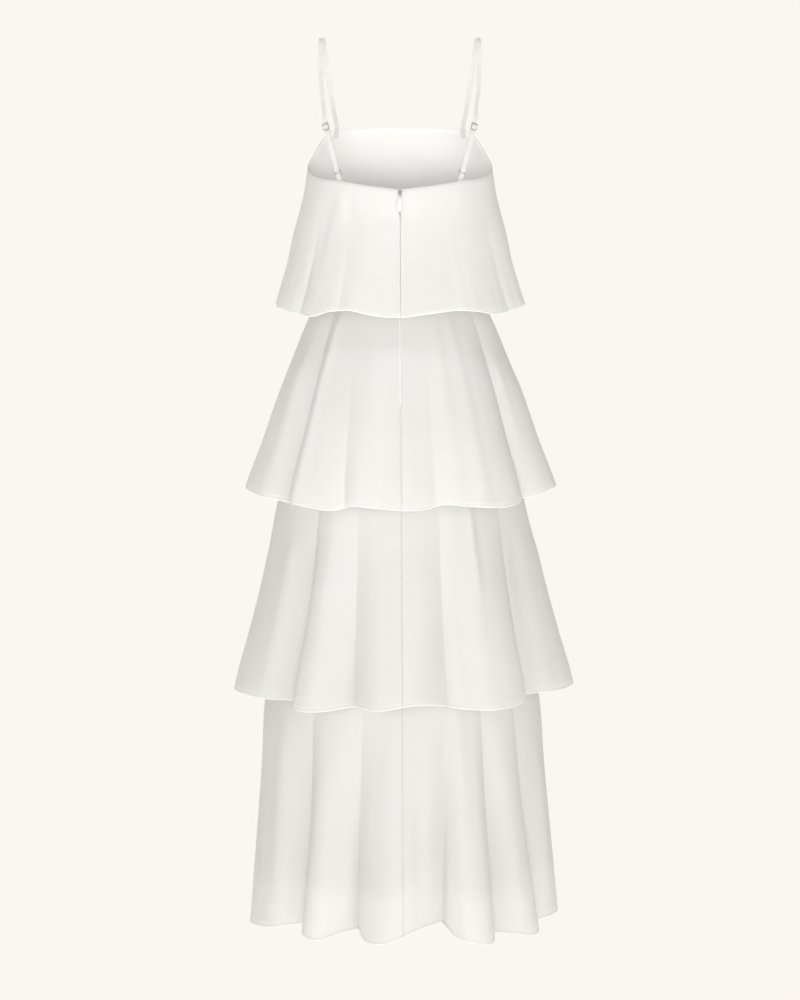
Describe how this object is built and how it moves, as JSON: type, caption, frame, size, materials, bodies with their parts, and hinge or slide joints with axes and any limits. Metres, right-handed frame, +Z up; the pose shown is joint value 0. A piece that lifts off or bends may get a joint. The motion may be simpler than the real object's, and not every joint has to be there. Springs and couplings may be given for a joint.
{
  "type": "tiered maxi dress",
  "caption": "Sleeveless maxi dress of tiered fluted chiffon over a fitted bodice and slip, with thin adjustable straps and a centre back zip with a swinging pull tab.",
  "frame": {"origin": "midway between the undersides of the two strap tops, where the wearer's shoulders hold the dress", "axes": "+Z up along the wearer, -Y towards the front, +Y towards the back with the zip, +X towards the wearer's left"},
  "size_m": [0.5209, 0.4685, 1.3755],
  "materials": {
    "chiffon": "off-white crepe chiffon, slightly see-through, matt with a soft sheen",
    "lining": "off-white woven lining, smooth",
    "strap": "off-white satin strap",
    "strap_metal": "polished metal",
    "zip_tape": "off-white woven zip tape",
    "zip_metal": "off-white enamel"
  },
  "bodies": {
    "dress": {"bodice_front": "lining", "bodice_back_left": "lining", "bodice_back_right": "lining", "slip_upper_front": "lining", "slip_upper_back_left": "lining", "slip_upper_back_right": "lining", "slip_middle_front": "lining", "slip_middle_back_left": "lining", "slip_middle_back_right": "lining", "slip_lower_front": "lining", "slip_lower_back_left": "lining", "slip_lower_back_right": "lining", "flounce_front": "chiffon", "flounce_back_left": "chiffon", "flounce_back_right": "chiffon", "tier2_front": "chiffon", "tier2_back_left": "chiffon", "tier2_back_right": "chiffon", "tier3_front": "chiffon", "tier3_back_left": "chiffon", "tier3_back_right": "chiffon", "tier4_front": "chiffon", "tier4_back_left": "chiffon", "tier4_back_right": "chiffon", "strap_left": "strap", "strap_right": "strap", "ring_tab_left": "strap", "ring_tab_right": "strap", "strap_ring_left": "strap_metal", "strap_ring_right": "strap_metal", "strap_slider_left": "strap_metal", "strap_slider_right": "strap_metal", "zip_tape_left": "zip_tape", "zip_tape_right": "zip_tape", "zip_slider": "zip_metal"},
    "pull_tab": {"zip_pull": "zip_metal"}
  },
  "joints": [
    {"name": "pull_tab_swing", "type": "hinge", "parent": "dress", "child": "pull_tab", "pos_m": [0, 0.1026, -0.2603], "axis": [1, 0, 0], "range_deg": [0, 120]}
  ]
}
